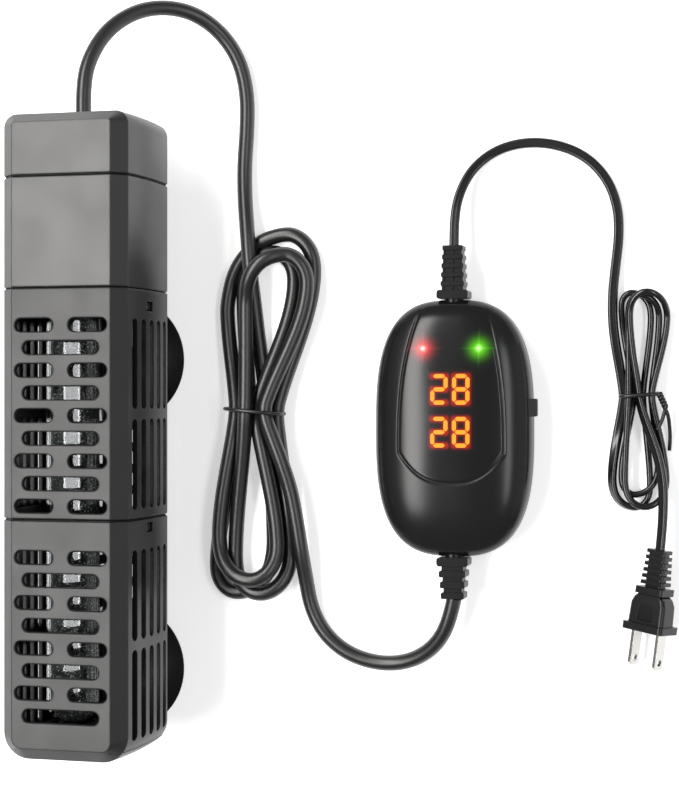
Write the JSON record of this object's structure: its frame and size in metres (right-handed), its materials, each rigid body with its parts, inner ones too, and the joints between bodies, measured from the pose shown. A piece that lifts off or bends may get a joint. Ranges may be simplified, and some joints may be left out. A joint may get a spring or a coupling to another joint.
{
  "type": "submersible aquarium heater",
  "caption": "Submersible aquarium heater in a slotted guard with suction cups, joined by tied cords to an in-line temperature controller and a flat-pin plug.",
  "frame": {"origin": "bottom centre of the box round heater and controller, on the plane that the suction cups, the controller and the cords rest on", "axes": "+Y along the heater to its cord end, +Z out of its front face, +X to the controller"},
  "size_m": [0.2944, 0.3443, 0.079],
  "materials": {
    "housing_plastic": "satin",
    "cup_rubber": "smooth",
    "gland_rubber": "matt",
    "quartz": "clear",
    "filling": "granular",
    "ceramic": "unglazed",
    "element_wire": "drawn",
    "steel": "satin",
    "plug_metal": "nickel plated",
    "inner_plastic": "moulded",
    "potting": "poured resin",
    "capacitor_can": "sleeved",
    "controller_plastic": "satin",
    "panel_gloss": "polished",
    "display": "lit digits",
    "red_led": "lit",
    "green_led": "lit",
    "board": "solder mask",
    "heater_cord": "satin sheath",
    "mains_cord": "satin sheath",
    "tie": "coated wire"
  },
  "bodies": {
    "heater_set": {"ceramic_beads": "ceramic", "ceramic_core": "ceramic", "clamp_screws": "steel", "controller_bottom_shell": "controller_plastic", "controller_screws": "steel", "controller_top_shell": "controller_plastic", "cord_clamp": "inner_plastic", "cord_gland": "gland_rubber", "crimp_sleeves": "steel", "display_board": "board", "display_panel": "panel_gloss", "dropper_capacitor": "inner_plastic", "element_leads": "element_wire", "green_lamp": "green_led", "heater_cord_hank": "heater_cord", "heater_cord_rise": "heater_cord", "heater_cord_tail": "heater_cord", "heater_cord_tie": "tie", "heating_coil": "element_wire", "lower_cup_bracket": "housing_plastic", "lower_display": "display", "lower_guard": "housing_plastic", "lower_strain_relief": "gland_rubber", "main_board": "board", "mains_cord_hank": "mains_cord", "mains_cord_rise": "mains_cord", "mains_cord_tail": "mains_cord", "mains_cord_tie": "tie", "micro_controller": "inner_plastic", "plug_blades": "plug_metal", "plug_body": "mains_cord", "potting_block": "potting", "quartz_tube": "quartz", "red_lamp": "red_led", "relay": "inner_plastic", "seal_bulkhead": "inner_plastic", "side_switch": "inner_plastic", "silicone_stopper": "gland_rubber", "smoothing_capacitor": "capacitor_can", "temperature_probe": "steel", "terminal_block": "inner_plastic", "thermal_cutout": "steel", "top_cap": "housing_plastic", "tube_cushion": "gland_rubber", "tube_filling": "filling", "tube_o_ring": "gland_rubber", "upper_cup_bracket": "housing_plastic", "upper_display": "display", "upper_guard": "housing_plastic", "upper_shell": "housing_plastic", "upper_strain_relief": "gland_rubber", "water_sensing_pins": "steel"},
    "temperature_button": {"temperature_button": "controller_plastic"},
    "upper_suction_cup": {"upper_suction_cup": "cup_rubber"},
    "lower_suction_cup": {"lower_suction_cup": "cup_rubber"}
  },
  "joints": [
    {"name": "button_press", "type": "slide", "parent": "heater_set", "child": "temperature_button", "axis": [-1, 0, 0], "range_m": [0, 0.0008], "stiffness_N_per_m": 1500, "springref_m": -0.0003},
    {"name": "upper_cup_turn", "type": "hinge", "parent": "heater_set", "child": "upper_suction_cup", "pos_m": [-0.0845, 0.0347, 0.01625], "axis": [0, 0, 1], "continuous": true},
    {"name": "lower_cup_turn", "type": "hinge", "parent": "heater_set", "child": "lower_suction_cup", "pos_m": [-0.0845, -0.1119, 0.01625], "axis": [0, 0, 1], "continuous": true}
  ]
}
